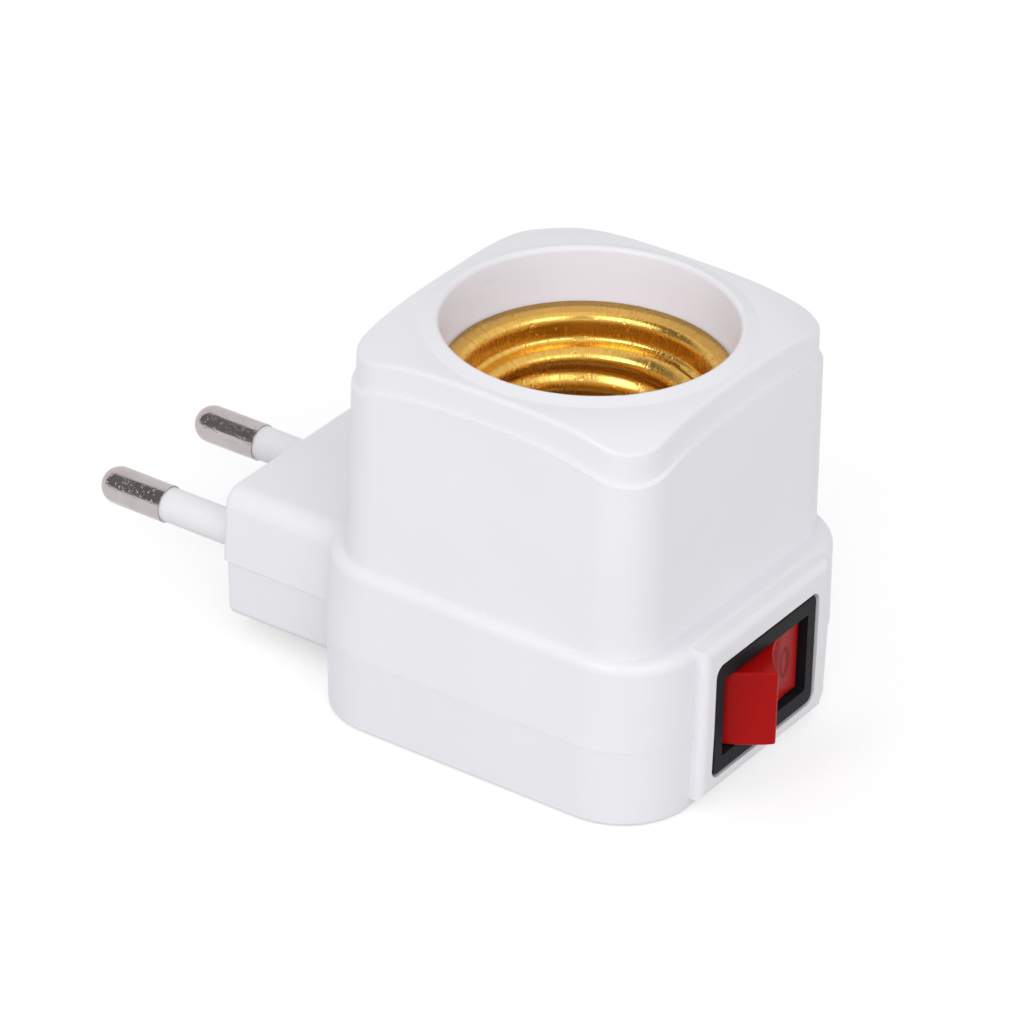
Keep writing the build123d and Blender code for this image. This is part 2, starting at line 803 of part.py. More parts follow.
def moving_contact():
    """Shaped to meet the fixed contact squarely when the switch is on, then turned to its place at rest."""
    touch = fixed_contact_x + fixed_contact_height + closed_gap
    disc = rod_x(touch, touch + moving_contact_block, contact_y, switch_z, contact_r)
    disc = (disc - arm_strip(arm_tilt)).solids().sort_by(Axis.X)[0]
    to_pivot = Pos(-arm_pivot_x, 0, -switch_z)
    return at_pivot(arm_pivot_x, -2 * arm_tilt) * (to_pivot * disc)


def dish_x(y):
    """Height of the rocker's dished face at y."""
    radius = (lip_y**2 + dish_depth**2) / (2 * dish_depth)
    return lip_x - dish_depth + radius - sqrt(radius**2 - y**2)


def rocker():
    """A dished key with convex ends, hollow underneath, with a stem for the plunger and two trunnions."""
    outline = ThreePointArc((lip_x, -lip_y), (lip_x - dish_depth, 0), (lip_x, lip_y))
    for side in (1, -1):
        middle = ((lip_x + skirt_x) / 2, side * ((lip_y + skirt_y) / 2 + end_bulge))
        outline += ThreePointArc((lip_x, side * lip_y), middle, (skirt_x, side * skirt_y))
    outline += Line((skirt_x, -skirt_y), (skirt_x, skirt_y))
    key = extrude(make_face(outline), rocker_h / 2, both=True)
    lips = key.edges().filter_by(Axis.Z).group_by(Axis.X)[-1]
    key = fillet(lips, lip_round)
    faces = key.faces().filter_by(Axis.Z).edges().filter_by(lambda e: e.center().X > skirt_x + 1)
    key = fillet(faces, rocker_edge_round)
    wall_y = skirt_y - rocker_wall
    half_z = rocker_h / 2 - rocker_wall
    for side in (-1, 1):
        stem_y = side * (stem_half + stem_web)
        end_y = side * (lip_y - rocker_wall)
        pocket = make_face(Polyline(
            (skirt_x - 1, stem_y), (skirt_x - 1, side * wall_y), (skirt_x, side * wall_y),
            (dish_x(end_y) - rocker_skin, end_y), (dish_x(stem_half) - rocker_skin, stem_y), close=True,
        ))
        key -= extrude(pocket, half_z, both=True)
    key += extrude(Pos((stem_x + 1) / 2, 0) * Rectangle(1 - stem_x, 2 * stem_half), stem_half, both=True)
    key += Cylinder(trunnion_r, rocker_h + 2 * trunnion_len)
    key -= rod_x(stem_x - 1, spring_top, 0, 0, spring_bore_r)
    return at_pivot(pivot_x, rocker_tilt) * one_solid(key)


def rocker_plunger():
    """A round-nosed plunger in the stem, pressed on the contact arm by the spring."""
    nose = plunger_r - plunger_tip
    slant = plunger_r * sin(radians(45))
    outline = ThreePointArc((-plunger_tip, 0), (nose - slant, slant), (nose, plunger_r))
    outline += Polyline((nose, plunger_r), (-plunger_head, plunger_r), (-plunger_head, plunger_stem_r),
                        (0, plunger_stem_r), (0, 0), (-plunger_tip, 0))
    return at_pivot(pivot_x, rocker_tilt) * turned_x(outline)


def rocker_spring():
    coil_r = spring_bore_r - 2 * spring_wire_r
    low = spring_wire_r - plunger_head
    length = spring_top - spring_wire_r - low
    path = Helix(length / spring_turns, length, coil_r)
    start = Plane(path @ 0, z_dir=path % 0)
    coil = sweep(start * Circle(spring_wire_r), path)
    return at_pivot(pivot_x, rocker_tilt) * Pos(low, 0, 0) * Rot(0, 90, 0) * coil


# Leads and their connectors


def switch_connectors():
    """The two push-on connectors: a rolled channel on the blade and a crimp barrel on the lead."""
    x1 = case_back - connector_gap
    x0 = x1 - connector_len
    floor_y = blade_thick / 2
    outer_y = floor_y + connector_sheet
    half_z = connector_h / 2
    roll_r = connector_h / 6
    roll_y = -floor_y - roll_r
    section = Pos(floor_y + connector_sheet / 2, 0) * Rectangle(connector_sheet, connector_h)
    for side in (-1, 1):
        side_z = side * (half_z - connector_sheet / 2)
        section += Pos((roll_y + outer_y) / 2, side_z) * Rectangle(outer_y - roll_y, connector_sheet)
        roll = Circle(roll_r) - Circle(roll_r - connector_sheet)
        section += Pos(roll_y, side * (half_z - roll_r)) * roll
    channel = along_x(section, x0, x1)
    web = solid_box(x0 - barrel_len / 2, x0 + connector_sheet, floor_y, outer_y, -barrel_r, barrel_r)
    barrel = rod_x(x0 - barrel_len, x0 - barrel_neck, 0, 0, barrel_r)
    bore = rod_x(x0 - barrel_len - 1, x0 - barrel_neck, 0, 0, lead_r + sleeve_fit)
    piece = channel + web + barrel - bore
    return [Pos(0, y, switch_z) * piece.solid() for y in (0, load_blade_y)]


def lead(*points):
    """An insulated lead along a bent path."""
    path = FilletPolyline(*points, radius=lead_bend)
    return sweep(Plane(path @ 0, z_dir=path % 0) * Circle(lead_r), path)


def lead_ends():
    barrel_in = case_back - connector_gap - connector_len - 2 * barrel_neck
    tags_under = insulator_bottom - tag_thick
    return barrel_in, tags_under


def live_lead():
    barrel_in, _ = lead_ends()
    return lead((-pin_tail, -pin_y, pin_z), (live_turn_x, -pin_y, pin_z), (live_turn_x + pin_y, 0, switch_z),
                (barrel_in, 0, switch_z))


def switched_lead():
    barrel_in, tags_under = lead_ends()
    return lead((barrel_in, load_blade_y, switch_z), (centre_tag_x, load_blade_y, switch_z),
                (centre_tag_x, load_blade_y, tags_under))


def neutral_lead():
    _, tags_under = lead_ends()
    turn_x = -shell_rivet_x
    return lead((-pin_tail, pin_y, pin_z), (turn_x, pin_y, pin_z), (turn_x, pin_y, tags_under))


under_tag = insulator_bottom - tag_thick
over_shell = insulator_top + shell_sheet
pieces = {
    "upper_housing": upper_housing(),
    "lower_housing": lower_housing(),
    "housing_screws": housing_screws(),
    "screw_shell": screw_shell(),
    "socket_insulator": socket_insulator(),
    "centre_contact": centre_contact(),
    "centre_rivet": rivet(0, 0, under_tag, insulator_top + contact_leaf),
    "shell_rivets": [
        rivet(-shell_rivet_x, 0, under_tag, over_shell),
        rivet(shell_rivet_x, 0, insulator_bottom, over_shell),
    ],
    "shell_tag": tag(-shell_rivet_x, 0, -shell_rivet_x, pin_y),
    "centre_tag": tag(0, 0, centre_tag_x, load_blade_y),
    "socket_screws": socket_screws(),
    "live_pin": pin(-1),
    "neutral_pin": pin(1),
    "live_pin_sleeve": pin_sleeve(-1),
    "neutral_pin_sleeve": pin_sleeve(1),
    "switch_case": switch_case(),
    "rocker": rocker(),
    "rocker_plunger": rocker_plunger(),
    "rocker_spring": rocker_spring(),
    "contact_arm": contact_arm(),
    "moving_contact": moving_contact(),
    "common_terminal": common_terminal(),
    "load_terminal": load_terminal(),
    "fixed_contact": fixed_contact(),
    "switch_connectors": switch_connectors(),
    "live_lead": live_lead(),
    "switched_lead": switched_lead(),
    "neutral_lead": neutral_lead(),
}
for name, piece in pieces.items():
    if isinstance(piece, list):
        piece = Compound(children=[solid.solid() for solid in piece])
    export_step(piece, f"parts/{name}.step")
    print(name, "exported")
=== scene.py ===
import bpy
from math import atan2, cos, pi, radians, sin, sqrt
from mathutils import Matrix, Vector


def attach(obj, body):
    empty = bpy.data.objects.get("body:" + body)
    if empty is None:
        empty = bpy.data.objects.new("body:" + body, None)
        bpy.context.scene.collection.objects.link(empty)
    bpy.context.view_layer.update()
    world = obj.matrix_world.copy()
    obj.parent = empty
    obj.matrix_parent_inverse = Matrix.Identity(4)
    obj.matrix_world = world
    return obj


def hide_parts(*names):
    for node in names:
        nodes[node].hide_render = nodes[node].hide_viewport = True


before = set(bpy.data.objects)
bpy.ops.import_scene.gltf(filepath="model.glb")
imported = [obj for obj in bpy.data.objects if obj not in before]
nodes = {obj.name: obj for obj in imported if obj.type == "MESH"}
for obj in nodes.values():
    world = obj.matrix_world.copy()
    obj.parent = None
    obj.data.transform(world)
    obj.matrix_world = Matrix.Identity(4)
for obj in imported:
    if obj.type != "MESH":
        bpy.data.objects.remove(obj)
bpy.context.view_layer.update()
print("frame loaded:", len(nodes), "nodes")


def startMaterial(name):
    material = bpy.data.materials.new(name)
    material.use_nodes = True
    tree = material.node_tree
    place = tree.nodes.new("ShaderNodeTexCoord")
    return material, tree, tree.nodes["Principled BSDF"], place.outputs["Object"]


def noise(tree, vector, grain, scale=None):
    # grain is (scale, detail, roughness); a socket given as scale takes the place of the first
    node = tree.nodes.new("ShaderNodeTexNoise")
    for label, value in zip(("Scale", "Detail", "Roughness"), grain):
        node.inputs[label].default_value = value
    tree.links.new(vector, node.inputs["Vector"])
    if scale is not None:
        tree.links.new(scale, node.inputs["Scale"])
    return node.outputs["Fac"]


def maths(tree, operation, *values):
    node = tree.nodes.new("ShaderNodeMath")
    node.operation = operation
    for socket, value in zip(node.inputs, values):
        if isinstance(value, (int, float)):
            socket.default_value = value
        else:
            tree.links.new(value, socket)
    return node.outputs[0]


def remap(tree, value, cut, span=(0.0, 1.0), easing="LINEAR"):
    # what runs over the range cut comes out over the range span
    node = tree.nodes.new("ShaderNodeMapRange")
    node.interpolation_type = easing
    node.inputs["From Min"].default_value, node.inputs["From Max"].default_value = cut
    node.inputs["To Min"].default_value, node.inputs["To Max"].default_value = span
    tree.links.new(value, node.inputs["Value"])
    return node.outputs["Result"]


def mixColour(tree, mask, a, b):
    node = tree.nodes.new("ShaderNodeMix")
    node.data_type = "RGBA"
    tree.links.new(mask, node.inputs["Factor"])
    node.inputs["A"].default_value = (*a, 1)
    node.inputs["B"].default_value = (*b, 1)
    return node.outputs["Result"]


def addBump(tree, shader, height, strength, distance):
    bump = tree.nodes.new("ShaderNodeBump")
    bump.inputs["Strength"].default_value = strength
    bump.inputs["Distance"].default_value = distance
    tree.links.new(height, bump.inputs["Height"])
    tree.links.new(bump.outputs["Normal"], shader.inputs["Normal"])


# the photograph's view: angles in degrees, places in metres, lens and sensor in millimetres
cameraView = {
    "azimuth": 34.142,
    "elevation": 30.643,
    "roll": 1.499,
    "place": (0.3578, -0.5428, 0.4101),
    "lens": 223.77,
    "sensor": 36,
    "clip": (0.05, 20),
}

studio = {
    "floorSize": 2.4,
    "floorDrop": 0.0001,  # the floor stays this far below the base
    "floorTone": 0.62,
    "floorRough": 0.9,
    "floorSheen": 0.1,
    "floorLift": 0.49,  # added brightness that only the lens and the gloss see
    "fade": (0.25, 1.1),  # the paper thins out between these distances from the middle
    "fibre": (900, 2.0, 0.5),  # scale, detail and roughness of its noise
    "fibreBump": 0.05,
    "fibreDepth": 0.0001,
    "skyStrength": 0.72,
    "aim": (0, 0, 0.025),
}

softBoxes = {
    "frontBox": {"place": (0.874, -1.041, 0.659), "size": 1.1, "power": 7.2, "mirrored": False},
    "sideBox": {"place": (-0.33, -1.12, 0.72), "size": 0.5, "power": 2.1, "mirrored": False},
}


def clearSelection():
    bpy.ops.object.select_all(action="DESELECT")


def placeCamera(v):
    turn = (radians(90 - v["elevation"]), 0, radians(v["azimuth"]))
    bpy.ops.object.camera_add(location=v["place"], rotation=turn)
    camera = bpy.context.object
    camera.name = "photoCamera"
    camera.rotation_euler.rotate_axis("Z", radians(v["roll"]))
    camera.data.sensor_width = v["sensor"]
    camera.data.lens = v["lens"]
    camera.data.clip_start, camera.data.clip_end = v["clip"]
    bpy.context.scene.camera = camera


def seenRays(tree):
    # 1 where the lens, a shiny face or clear stuff looks at the surface, 0 where it only lights others
    path = tree.nodes.new("ShaderNodeLightPath")
    first = maths(tree, "MAXIMUM", path.outputs["Is Camera Ray"], path.outputs["Is Glossy Ray"])
    return maths(tree, "MAXIMUM", first, path.outputs["Is Transmission Ray"])


def paperFloorMaterial(s):
    material, tree, shader, place = startMaterial("paperFloor")
    shader.inputs["Base Color"].default_value = (s["floorTone"], s["floorTone"], s["floorTone"], 1)
    shader.inputs["Roughness"].default_value = s["floorRough"]
    shader.inputs["Specular IOR Level"].default_value = s["floorSheen"]
    length = tree.nodes.new("ShaderNodeVectorMath")
    length.operation = "LENGTH"
    tree.links.new(place, length.inputs[0])
    cover = remap(tree, length.outputs["Value"], s["fade"], (1, 0), "SMOOTHSTEP")
    tree.links.new(cover, shader.inputs["Alpha"])
    lift = maths(tree, "MULTIPLY", seenRays(tree), s["floorLift"])  # the paper's shadow stays in it
    shader.inputs["Emission Color"].default_value = (1, 1, 1, 1)
    tree.links.new(lift, shader.inputs["Emission Strength"])
    addBump(tree, shader, noise(tree, place, s["fibre"]), s["fibreBump"], s["fibreDepth"])
    return material


def makeStage(s):
    clearSelection()
    bpy.ops.mesh.primitive_plane_add(size=s["floorSize"], location=(0, 0, -s["floorDrop"]))
    floor = bpy.context.object
    floor.name = "studioFloor"
    floor.data.materials.append(paperFloorMaterial(s))

    world = bpy.data.worlds.new("studioSky")
    bpy.context.scene.world = world
    world.use_nodes = True
    tree = world.node_tree
    tree.nodes.clear()
    out = tree.nodes.new("ShaderNodeOutputWorld")
    seen = tree.nodes.new("ShaderNodeBackground")  # what the camera and the gloss see
    seen.inputs["Strength"].default_value = 1
    seen.inputs["Color"].default_value = (1, 1, 1, 1)
    light = tree.nodes.new("ShaderNodeBackground")
    light.inputs["Strength"].default_value = s["skyStrength"]
    light.inputs["Color"].default_value = (1, 1, 1, 1)
    mix = tree.nodes.new("ShaderNodeMixShader")
    tree.links.new(seenRays(tree), mix.inputs[0])
    tree.links.new(light.outputs[0], mix.inputs[1])
    tree.links.new(seen.outputs[0], mix.inputs[2])
    tree.links.new(mix.outputs[0], out.inputs["Surface"])


def makeSoftBox(name, b, aim):
    clearSelection()
    place = Vector(b["place"])
    turn = (Vector(aim) - place).to_track_quat("-Z", "Y").to_euler()
    bpy.ops.object.light_add(type="AREA", location=place, rotation=turn)
    box = bpy.context.object
    box.name = name
    box.data.shape = "SQUARE"
    box.data.size = b["size"]
    box.data.energy = b["power"]
    box.visible_glossy = b["mirrored"]


# cards that only shiny faces see: azimuth and elevation of the centre in degrees, then distance, size and brightness
flagCards = {
    "lowCard": {"azimuth": -140, "elevation": 24, "away": 0.62, "size": (0.62, 0.42), "tone": 0.17},
    "highCard": {"azimuth": -152, "elevation": 54, "away": 0.66, "size": (0.46, 0.38), "tone": 0.17},
    "lensCard": {"azimuth": -45, "elevation": 45, "away": 0.70, "size": (0.24, 0.34), "tone": 0.5},
    "glowCard": {"azimuth": -93, "elevation": 46, "away": 0.70, "size": (0.36, 0.32), "tone": 6.5},
    "rightGlowCard": {"azimuth": -16, "elevation": 46, "away": 0.70, "size": (0.34, 0.26), "tone": 4.5},
}


def makeFlag(name, c, aim):
    clearSelection()
    azimuth = radians(c["azimuth"])
    elevation = radians(c["elevation"])
    away = Vector((cos(elevation) * cos(azimuth), cos(elevation) * sin(azimuth), sin(elevation)))
    bpy.ops.mesh.primitive_plane_add(size=1, location=(0, 0, 0))
    card = bpy.context.object
    card.name = name
    bpy.ops.object.mode_set(mode="EDIT")
    bpy.ops.transform.resize(value=(*c["size"], 1))
    bpy.ops.object.mode_set(mode="OBJECT")
    card.location = Vector(aim) + away * c["away"]
    card.rotation_euler = away.to_track_quat("Z", "Y").to_euler()
    material = bpy.data.materials.new(name + "Cloth")
    material.use_nodes = True
    shader = material.node_tree.nodes["Principled BSDF"]
    shader.inputs["Base Color"].default_value = (0, 0, 0, 1)
    shader.inputs["Specular IOR Level"].default_value = 0
    shader.inputs["Emission Color"].default_value = (1, 1, 1, 1)
    shader.inputs["Emission Strength"].default_value = c["tone"]
    card.data.materials.append(material)
    card.visible_camera = False
    card.visible_diffuse = False
    card.visible_shadow = False


placeCamera(cameraView)
makeStage(studio)
for name, b in softBoxes.items():
    makeSoftBox(name, b, studio["aim"])
for name, c in flagCards.items():
    makeFlag(name, c, studio["aim"])
bpy.context.scene.view_settings.view_transform = "Standard"
print("camera and stage set")


def newGroup(name, values, outputs):
    # a group with a vector, the given numbers and the named outputs
    group = bpy.data.node_groups.new(name, "ShaderNodeTree")
    group.interface.new_socket(name="Vector", in_out="INPUT", socket_type="NodeSocketVector")
    for label, value in values.items():
        socket = group.interface.new_socket(name=label, in_out="INPUT", socket_type="NodeSocketFloat")
        socket.default_value = value
    for label in outputs:
        group.interface.new_socket(name=label, in_out="OUTPUT", socket_type="NodeSocketFloat")
    start = group.nodes.new("NodeGroupInput")
    end = group.nodes.new("NodeGroupOutput")
    return group, start.outputs, end.inputs


def stretched(group, vector, turn, scale):
    mapping = group.nodes.new("ShaderNodeMapping")
    mapping.inputs["Rotation"].default_value = turn
    mapping.inputs["Scale"].default_value = scale
    group.links.new(vector, mapping.inputs["Vector"])
    return mapping.outputs["Vector"]


# slow clouds from the flow of the melt, and the fine grain and slow waves of the mould's wall
skin = {
    "cloud": (55.0, 3.0, 0.55),
    "cloudCut": (0.3, 0.7),
    "grain": (2600.0, 2.0, 0.6),
    "wave": (130.0, 1.0, 0.5),
    "waveHeight": 3.0,
}


def mouldedSkinGroup(s):
    values = {"Cloud Scale": s["cloud"][0], "Grain Scale": s["grain"][0]}
    group, start, end = newGroup("mouldedSkin", values, ["Cloud", "Height"])
    cloud = noise(group, start["Vector"], s["cloud"], start["Cloud Scale"])
    grain = noise(group, start["Vector"], s["grain"], start["Grain Scale"])
    wave = noise(group, start["Vector"], s["wave"])
    group.links.new(remap(group, cloud, s["cloudCut"]), end["Cloud"])
    group.links.new(maths(group, "MULTIPLY_ADD", wave, s["waveHeight"], grain), end["Height"])
    return group


# sparse hairline marks from handling, in two directions
hairlines = {
    "runs": ((0.5, (900, 40, 60)), (2.1, (50, 1100, 45))),  # the turn of each run and how it is stretched
    "lean": (1, 0.6, 1.3),
    "line": (1.0, 1.0, 0.5),
    "lineCut": (0.70, 0.76),
    "amount": 0.5,
}


def hairlineGroup(h):
    group, start, end = newGroup("hairlineMarks", {"Amount": h["amount"]}, ["Mark"])
    lines = []
    for turn, scale in h["runs"]:
        run = stretched(group, start["Vector"], [turn * part for part in h["lean"]], scale)
        lines.append(remap(group, noise(group, run, h["line"]), h["lineCut"]))
    both = maths(group, "MAXIMUM", *lines)
    group.links.new(maths(group, "MULTIPLY", both, start["Amount"]), end["Mark"])
    return group


# tool lines on spun sheet: they run down the wall and out over the flare
spun = {
    "line": (60.0, 3.0, 0.65),
    "lineCut": (0.42, 0.72),
    "climb": 6.0,  # how soon a line gives way to the next one up the wall
    "patch": (160.0, 2.0, 0.5),
    "patchCut": (0.35, 0.6),
    "patchSpan": (0.25, 1.0),
    "pit": (1500.0, 2.0, 0.5),
    "pitCut": (0.62, 0.72),
}


def spunStreakGroup(s):
    group, start, end = newGroup("spunStreaks", {"Fineness": s["line"][0]}, ["Streak", "Pit"])
    split = group.nodes.new("ShaderNodeSeparateXYZ")
    group.links.new(start["Vector"], split.inputs[0])
    angle = maths(group, "ARCTAN2", split.outputs["Y"], split.outputs["X"])
    around = group.nodes.new("ShaderNodeCombineXYZ")
    group.links.new(maths(group, "COSINE", angle), around.inputs["X"])
    group.links.new(maths(group, "SINE", angle), around.inputs["Y"])
    group.links.new(maths(group, "MULTIPLY", split.outputs["Z"], s["climb"]), around.inputs["Z"])
    line = remap(group, noise(group, around.outputs[0], s["line"], start["Fineness"]), s["lineCut"])
    patch = remap(group, noise(group, start["Vector"], s["patch"]), s["patchCut"], s["patchSpan"])
    pit = remap(group, noise(group, start["Vector"], s["pit"]), s["pitCut"])
    group.links.new(maths(group, "MULTIPLY", line, patch), end["Streak"])
    group.links.new(pit, end["Pit"])
    return group


# lines left by drawing and polishing, along X, with duller blotches and small pits
drawn = {
    "line": (2200.0, 3.0, 0.6),
    "stretch": (0.06, 1, 1),
    "blotch": (260.0, 3.0, 0.5),
    "blotchCut": (0.35, 0.7),
    "pit": (2300.0, 2.0, 0.5),
    "pitCut": (0.54, 0.74),
}


def drawnStreakGroup(d):
    group, start, end = newGroup("drawnStreaks", {"Fineness": d["line"][0]}, ["Streak", "Blotch", "Pit"])
    along = stretched(group, start["Vector"], (0, 0, 0), d["stretch"])
    blotch = remap(group, noise(group, start["Vector"], d["blotch"]), d["blotchCut"])
    pit = remap(group, noise(group, start["Vector"], d["pit"]), d["pitCut"])
    group.links.new(noise(group, along, d["line"], start["Fineness"]), end["Streak"])
    group.links.new(blotch, end["Blotch"])
    group.links.new(pit, end["Pit"])
    return group


skinGroup = mouldedSkinGroup(skin)
hairGroup = hairlineGroup(hairlines)
spunGroup = spunStreakGroup(spun)
drawnGroup = drawnStreakGroup(drawn)
print("surface effects ready")


def useGroup(tree, group, vector, label=None, value=None):
    node = tree.nodes.new("ShaderNodeGroup")
    node.node_tree = group
    tree.links.new(vector, node.inputs["Vector"])
    if label:
        node.inputs[label].default_value = value
    return node.outputs


# colours of the melt's clouds, roughness between them, depth of the grain; sheen, soft and marks where they differ
plastics = {
    "whiteMoulding": {
        "low": (0.848, 0.842, 0.876), "high": (0.872, 0.866, 0.902),
        "gloss": (0.27, 0.38), "grain": 0.10, "sheen": 0.16, "marks": 0.05,
    },
    "milkySleeve": {
        "low": (0.87, 0.862, 0.905), "high": (0.90, 0.892, 0.93),
        "gloss": (0.34, 0.46), "grain": 0.15, "soft": 0.25,
    },
    "blackMoulding": {
        "low": (0.009, 0.009, 0.011), "high": (0.015, 0.015, 0.018),
        "gloss": (0.42, 0.55), "grain": 0.5, "sheen": 0.09,
    },
    "redMoulding": {
        "low": (0.36, 0.0025, 0.0025), "high": (0.43, 0.005, 0.004),
        "gloss": (0.22, 0.34), "grain": 0.10, "sheen": 0.12,
    },
    "plungerMoulding": {"low": (0.70, 0.68, 0.62), "high": (0.78, 0.76, 0.70), "gloss": (0.3, 0.4), "grain": 0.2},
    "insulatorMoulding": {"low": (0.62, 0.60, 0.55), "high": (0.72, 0.70, 0.65), "gloss": (0.5, 0.65), "grain": 0.6},
    "brownInsulation": {
        "low": (0.085, 0.030, 0.012), "high": (0.12, 0.045, 0.02),
        "gloss": (0.4, 0.55), "grain": 0.4,
    },
    "blueInsulation": {
        "low": (0.010, 0.05, 0.22), "high": (0.015, 0.07, 0.30),
        "gloss": (0.4, 0.55), "grain": 0.4,
    },
}

# what all the plastics share
moulded = {
    "ior": 1.47,
    "sheen": 0.5,
    "marks": 0.2,
    "markRough": 0.18,
    "grainDepth": 0.00004,
    "softReach": (0.9, 0.9, 1.0),
    "softDepth": 0.0015,
}


def plasticMaterial(name, p):
    material, tree, shader, place = startMaterial(name)
    surface = useGroup(tree, skinGroup, place)
    hair = useGroup(tree, hairGroup, place, "Amount", p.get("marks", moulded["marks"]))
    tree.links.new(mixColour(tree, surface["Cloud"], p["low"], p["high"]), shader.inputs["Base Color"])
    rough = remap(tree, surface["Cloud"], (0.0, 1.0), p["gloss"])
    marked = maths(tree, "MULTIPLY_ADD", hair["Mark"], moulded["markRough"], rough)
    tree.links.new(marked, shader.inputs["Roughness"])
    addBump(tree, shader, surface["Height"], p["grain"], moulded["grainDepth"])
    shader.inputs["IOR"].default_value = moulded["ior"]
    shader.inputs["Specular IOR Level"].default_value = p.get("sheen", moulded["sheen"])
    if "soft" in p:
        shader.inputs["Subsurface Weight"].default_value = p["soft"]
        shader.inputs["Subsurface Radius"].default_value = moulded["softReach"]
        shader.inputs["Subsurface Scale"].default_value = moulded["softDepth"]
    return material


# colours in and between the tool lines, roughness between them and how deep they are; drawn unless spun
metals = {
    "spunBrass": {
        "low": (0.58, 0.30, 0.033), "high": (0.79, 0.48, 0.115), "gloss": (0.20, 0.36),
        "bump": 0.55, "spun": True, "bounce": (0.95, 0.82, 0.81),
    },
    "stripBrass": {"low": (0.66, 0.42, 0.13), "high": (0.84, 0.60, 0.25), "gloss": (0.22, 0.40), "bump": 0.2},
    "copperStrip": {"low": (0.70, 0.36, 0.20), "high": (0.86, 0.50, 0.32), "gloss": (0.22, 0.40), "bump": 0.2},
    "nickelPin": {
        "low": (0.40, 0.355, 0.35), "high": (0.60, 0.55, 0.55), "gloss": (0.08, 0.20),
        "bump": 0.6, "dent": 0.000044,
    },
    "zincSteel": {"low": (0.50, 0.51, 0.53), "high": (0.66, 0.67, 0.70), "gloss": (0.28, 0.42), "bump": 0.25},
    "springWire": {"low": (0.52, 0.52, 0.54), "high": (0.66, 0.66, 0.68), "gloss": (0.2, 0.32), "bump": 0.2},
    "silverContact": {"low": (0.74, 0.73, 0.71), "high": (0.88, 0.87, 0.85), "gloss": (0.3, 0.45), "bump": 0.2},
}

# how streaks and worn spots change tone, roughness and depth on every metal
wear = {
    "wornTone": -0.25,
    "streakTone": 0.6,
    "wornRough": 0.08,
    "dent": 0.00003,
}


def tempered(tree, colour, bounce):
    # the light that the sheet sends on to dull walls is greyer than the sheet looks
    path = tree.nodes.new("ShaderNodeLightPath")
    node = tree.nodes.new("ShaderNodeMix")
    node.data_type = "RGBA"
    tree.links.new(path.outputs["Is Diffuse Ray"], node.inputs["Factor"])
    tree.links.new(colour, node.inputs["A"])
    node.inputs["B"].default_value = (*bounce, 1)
    return node.outputs["Result"]


def metalMaterial(name, m):
    material, tree, shader, place = startMaterial(name)
    shader.inputs["Metallic"].default_value = 1
    lines = useGroup(tree, spunGroup if m.get("spun") else drawnGroup, place)
    worn = lines["Pit"] if m.get("spun") else lines["Blotch"]
    clear = maths(tree, "SUBTRACT", 1.0, maths(tree, "MULTIPLY", lines["Streak"], wear["streakTone"]))
    tone = maths(tree, "MULTIPLY_ADD", worn, wear["wornTone"], clear)
    colour = mixColour(tree, tone, m["low"], m["high"])
    if "bounce" in m:
        colour = tempered(tree, colour, m["bounce"])
    tree.links.new(colour, shader.inputs["Base Color"])
    rough = remap(tree, lines["Streak"], (0.0, 1.0), m["gloss"])
    tree.links.new(maths(tree, "MULTIPLY_ADD", worn, wear["wornRough"], rough), shader.inputs["Roughness"])
    height = maths(tree, "SUBTRACT", maths(tree, "SUBTRACT", lines["Streak"], worn), lines["Pit"])
    addBump(tree, shader, height, m["bump"], m.get("dent", wear["dent"]))
    return material


finishes = {name: plasticMaterial(name, p) for name, p in plastics.items()}
finishes.update({name: metalMaterial(name, m) for name, m in metals.items()})

# which nodes each finish goes on
dressing = {
    "whiteMoulding": ("upper_housing", "lower_housing"),
    "milkySleeve": ("live_pin_sleeve", "neutral_pin_sleeve"),
    "blackMoulding": ("switch_case",),
    "redMoulding": ("rocker",),
    "plungerMoulding": ("rocker_plunger",),
    "insulatorMoulding": ("socket_insulator",),
    "brownInsulation": ("live_lead", "switched_lead"),
    "blueInsulation": ("neutral_lead",),
    "stripBrass": ("centre_contact", "centre_rivet", "shell_rivets", "shell_tag", "centre_tag",
                   "common_terminal", "load_terminal", "switch_connectors", "screw_shell"),
    "copperStrip": ("contact_arm",),
    "nickelPin": ("live_pin", "neutral_pin"),
    "zincSteel": ("housing_screws", "socket_screws"),
    "springWire": ("rocker_spring",),
    "silverContact": ("moving_contact", "fixed_contact"),
}
for finish, names in dressing.items():
    for name in names:
        nodes[name].data.materials.clear()
        nodes[name].data.materials.append(finishes[finish])
print("nodes dressed")


# the brass shell of the lamp socket, seen from inside, in metres
shell = {
    "facets": 256,
    "sheet": 0.0004,
    "flareR": 0.0175,
    "flareZ": 0.04397,
    "flareDrop": 0.00057,
    "neckR": 0.0153,
    "neckRound": 0.0009,
    "stepZ": 0.0399,
    "stepRound": 0.0012,
    "shoulder": 0.0009,
    "crestR": 0.01245,
    "rootR": 0.0133,
    "pitch": 0.00363,
    "crestZ": 0.0390,
    "crestAngle": 124,
    "threadLow": 0.0252,
    "threadFade": 0.0030,
    "footZ": 0.0234,
    "footR": 0.009,
    "footRise": 0.0004,
    "footTuck": 0.0002,
    "ringStep": 0.0003,
    "bendSteps": 8,
    "weld": 0.000001,
}


def bendTurns(s, first):
    # the angles of the rings of a quarter bend
    return [radians(90) * step / s["bendSteps"] for step in range(first, s["bendSteps"] + 1)]


